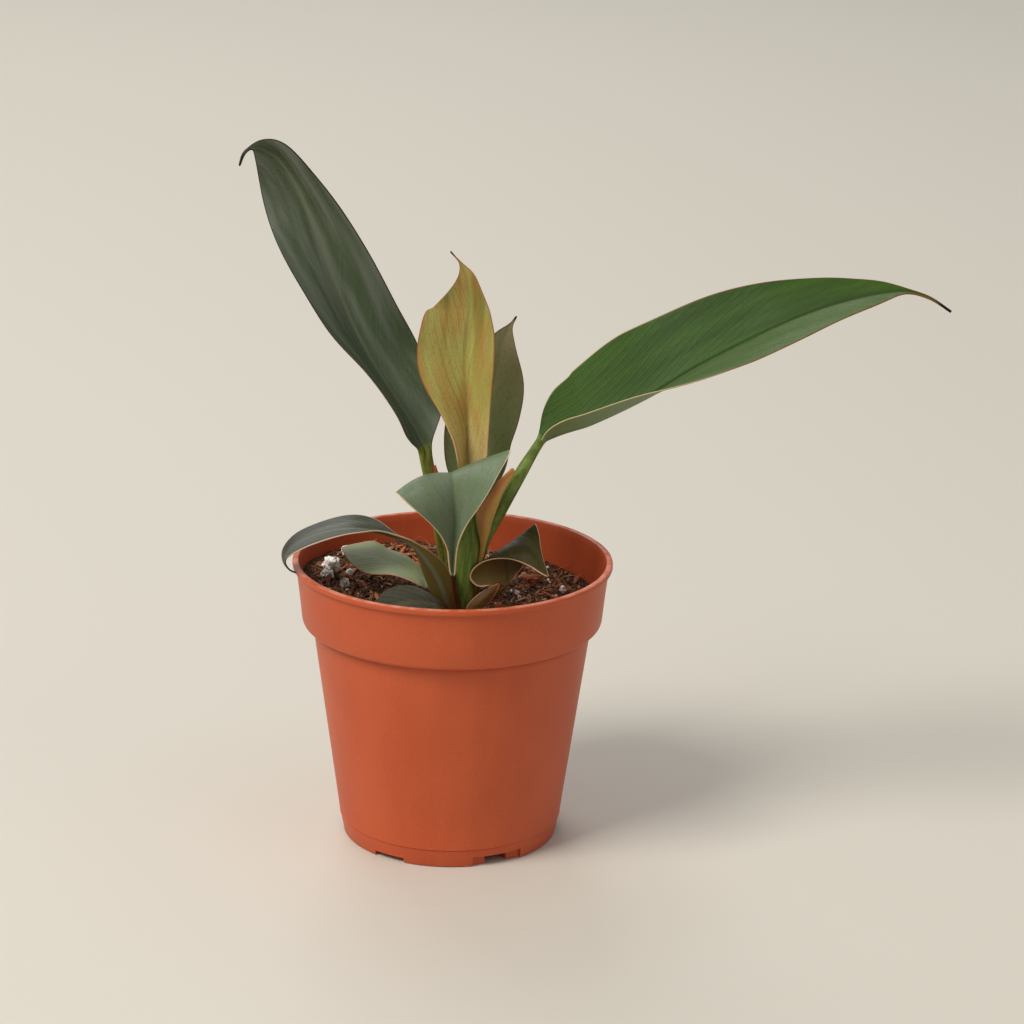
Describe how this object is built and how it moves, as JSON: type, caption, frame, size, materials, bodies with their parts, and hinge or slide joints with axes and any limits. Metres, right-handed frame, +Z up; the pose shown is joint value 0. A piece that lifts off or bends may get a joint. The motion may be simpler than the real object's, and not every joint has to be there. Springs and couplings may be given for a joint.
{
  "type": "potted philodendron",
  "caption": "Young potted philodendron with upright, arching and curled leathery leaves, in a tapered round plastic nursery pot with a collar, filled with coarse coir and perlite mix.",
  "frame": {"origin": "on the pot's axis, at the centre of the flat underside of the pot's foot, in the plane the pot stands on", "axes": "+Z up along the pot's axis, -Y the front, from which the tall leaf stands at the left and the long leaf reaches to +X, the right"},
  "size_m": [0.2328, 0.108, 0.2378],
  "materials": {
    "pot": "satin",
    "mix": "matte",
    "crown": "matte",
    "leaf_left_tall": "satin",
    "leaf_right_long": "satin",
    "leaf_centre_new": "satin",
    "leaf_back": "satin",
    "leaf_front_broad": "satin",
    "leaf_over_rim": "satin",
    "leaf_left_low": "satin",
    "leaf_front_low": "satin",
    "leaf_right_curled": "satin",
    "cataphyll_right": "satin",
    "cataphyll_left": "satin",
    "cataphyll_curled": "satin",
    "perlite": "matte",
    "bark": "matte"
  },
  "bodies": {
    "root": {"bark_chip_a": "bark", "bark_chip_b": "bark", "cataphyll_curled": "cataphyll_curled", "cataphyll_left": "cataphyll_left", "cataphyll_right": "cataphyll_right", "crown": "crown", "leaf_back": "leaf_back", "leaf_centre_new": "leaf_centre_new", "leaf_front_broad": "leaf_front_broad", "leaf_front_low": "leaf_front_low", "leaf_left_low": "leaf_left_low", "leaf_left_tall": "leaf_left_tall", "leaf_over_rim": "leaf_over_rim", "leaf_right_curled": "leaf_right_curled", "leaf_right_long": "leaf_right_long", "perlite_a": "perlite", "perlite_b": "perlite", "perlite_c": "perlite", "perlite_d": "perlite", "perlite_e": "perlite", "perlite_f": "perlite", "pot": "pot", "potting_mix": "mix"}
  },
  "joints": []
}
